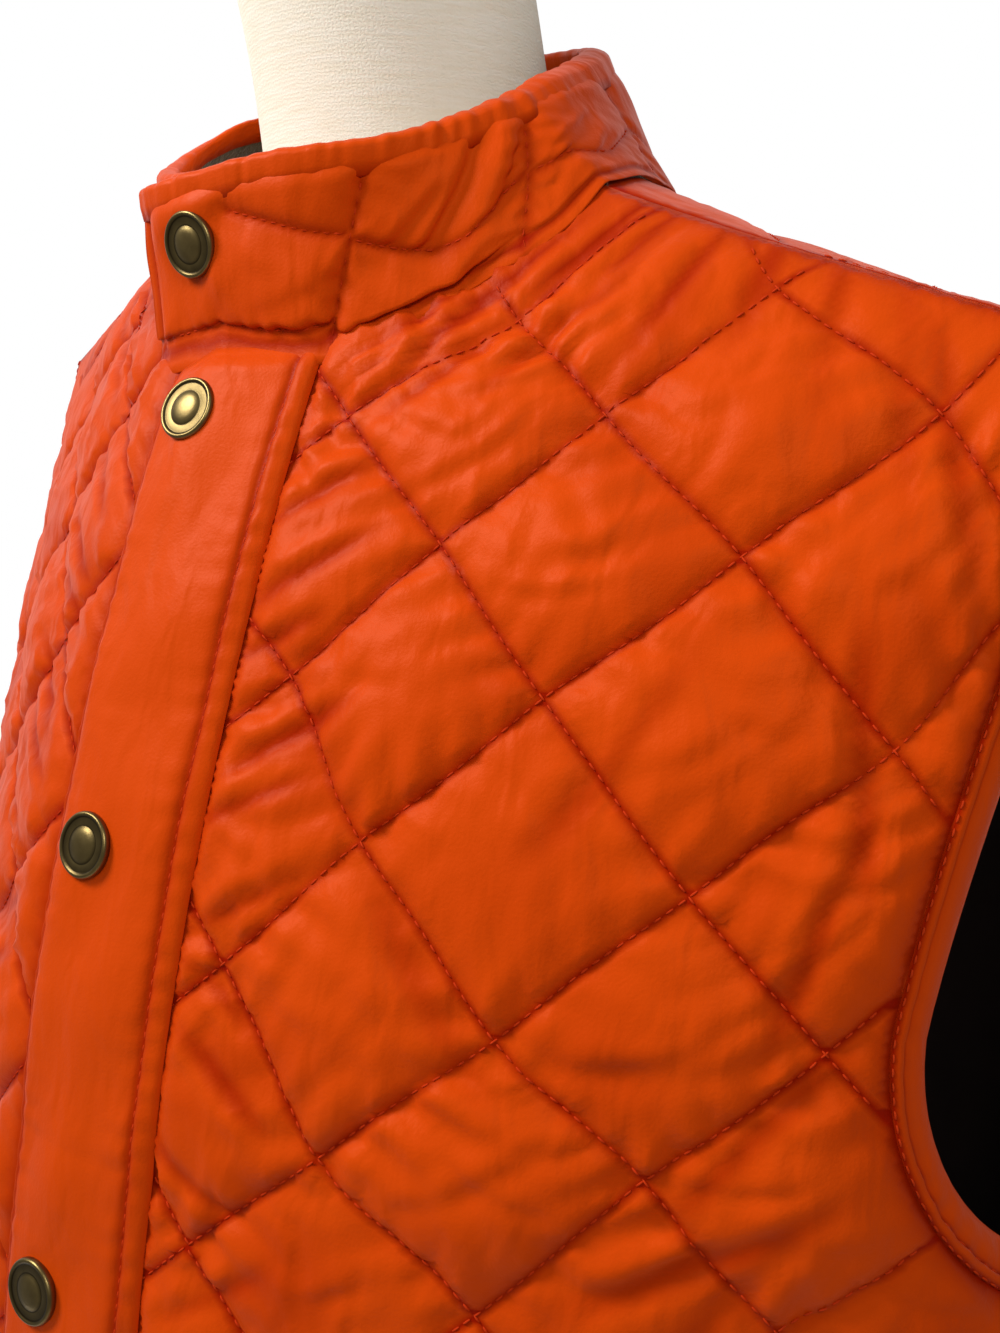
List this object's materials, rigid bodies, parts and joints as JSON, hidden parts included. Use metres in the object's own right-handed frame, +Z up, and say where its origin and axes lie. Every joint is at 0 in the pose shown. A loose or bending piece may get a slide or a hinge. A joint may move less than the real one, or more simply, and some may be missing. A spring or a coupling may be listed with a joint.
{
  "type": "quilted vest on dress form",
  "caption": "Sleeveless quilted vest with a stand collar and snapped placket, worn by a limbless dress form on a post and round base.",
  "frame": {"origin": "centre of the underside of the dress form's base", "axes": "+Z up, the wearer faces -Y, the wearer's left is +X"},
  "size_m": [0.4667, 0.3217, 1.016],
  "materials": {
    "vest_cloth": "satin nylon shell",
    "collar_pile": "short pile",
    "snap_brass": "antiqued",
    "form_linen": "woven linen",
    "stand_steel": "brushed"
  },
  "bodies": {
    "root": {"front_left": "vest_cloth", "front_right": "vest_cloth", "back": "vest_cloth", "placket": "vest_cloth", "collar": "vest_cloth", "collar_lining": "collar_pile", "collar_binding": "vest_cloth", "armhole_binding_left": "vest_cloth", "armhole_binding_right": "vest_cloth", "snap_collar": "snap_brass", "snap_placket_1": "snap_brass", "snap_placket_2": "snap_brass", "snap_placket_3": "snap_brass", "snap_placket_4": "snap_brass", "snap_placket_5": "snap_brass", "snap_placket_6": "snap_brass", "dress_form": "form_linen", "form_post": "stand_steel", "form_base": "stand_steel"}
  },
  "joints": []
}
